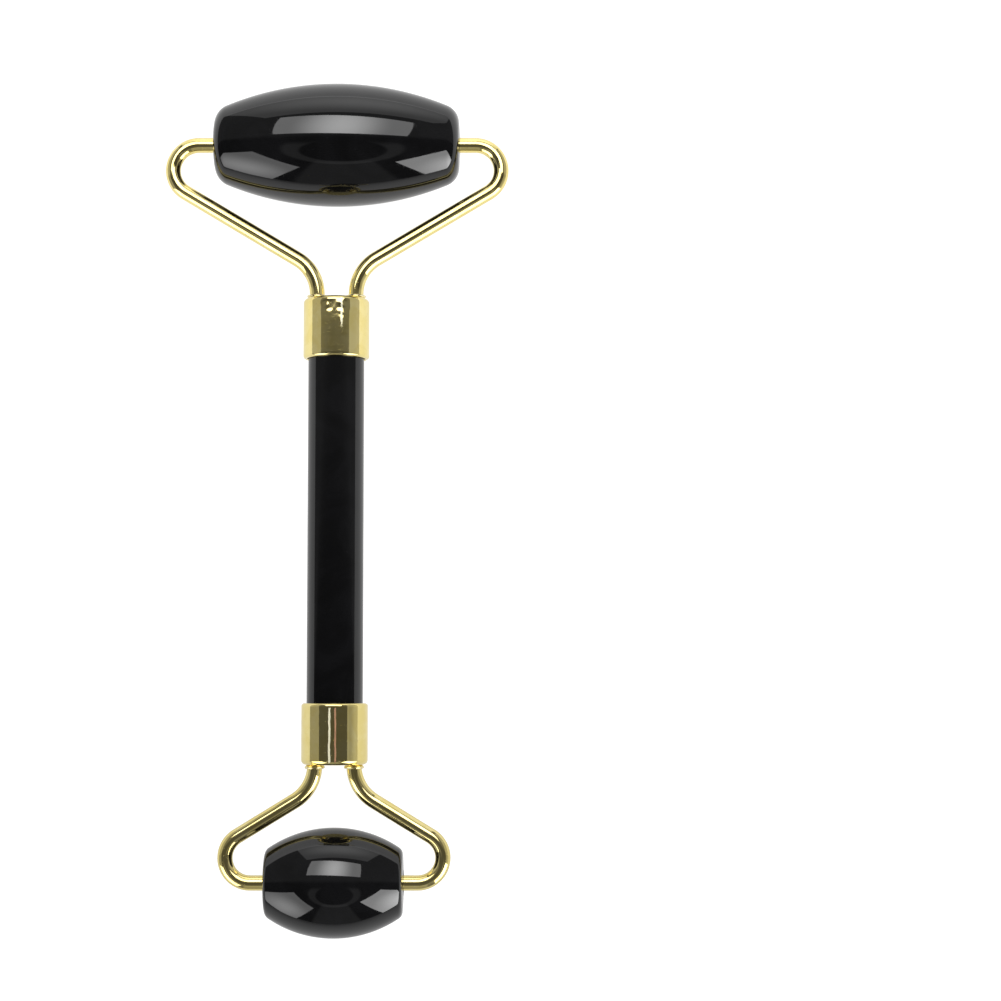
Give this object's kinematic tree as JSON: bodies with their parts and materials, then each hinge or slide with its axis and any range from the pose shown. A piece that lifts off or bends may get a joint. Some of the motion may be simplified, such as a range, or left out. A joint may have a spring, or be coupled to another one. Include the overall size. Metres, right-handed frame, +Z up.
{
  "type": "face roller",
  "caption": "Double-ended face massage roller: a straight stone rod with metal ferrules, wire yokes and free-turning barrel-shaped stones, large and small.",
  "frame": {"origin": "on the plane that the roller lies on, below the middle of its bounding box", "axes": "+Y along the handle towards the large stone, +Z up from the plane that the two stones lie on, +X along the rollers' axles"},
  "size_m": [0.0586, 0.1446, 0.0209],
  "materials": {
    "black_stone": "polished",
    "gold_ferrule": "polished",
    "gold_wire": "polished",
    "gold_solder": "gloss",
    "dark_nylon": "satin",
    "clear_epoxy": "gloss"
  },
  "bodies": {
    "handle": {"handle_stone": "black_stone", "large_ferrule": "gold_ferrule", "large_epoxy": "clear_epoxy", "large_solder_left": "gold_solder", "large_solder_right": "gold_solder", "large_arm_left": "gold_wire", "large_arm_right": "gold_wire", "small_ferrule": "gold_ferrule", "small_epoxy": "clear_epoxy", "small_solder_left": "gold_solder", "small_solder_right": "gold_solder", "small_arm_left": "gold_wire", "small_arm_right": "gold_wire"},
    "large_roller": {"large_stone": "black_stone", "large_sleeve_left": "dark_nylon", "large_sleeve_right": "dark_nylon"},
    "small_roller": {"small_stone": "black_stone", "small_sleeve_left": "dark_nylon", "small_sleeve_right": "dark_nylon"}
  },
  "joints": [
    {"name": "large_stone_spin", "type": "hinge", "parent": "handle", "child": "large_roller", "pos_m": [0, 0.0619, 0.01045], "axis": [1, 0, 0], "continuous": true},
    {"name": "small_stone_spin", "type": "hinge", "parent": "handle", "child": "small_roller", "pos_m": [0, -0.06315, 0.0092], "axis": [1, 0, 0], "continuous": true}
  ]
}
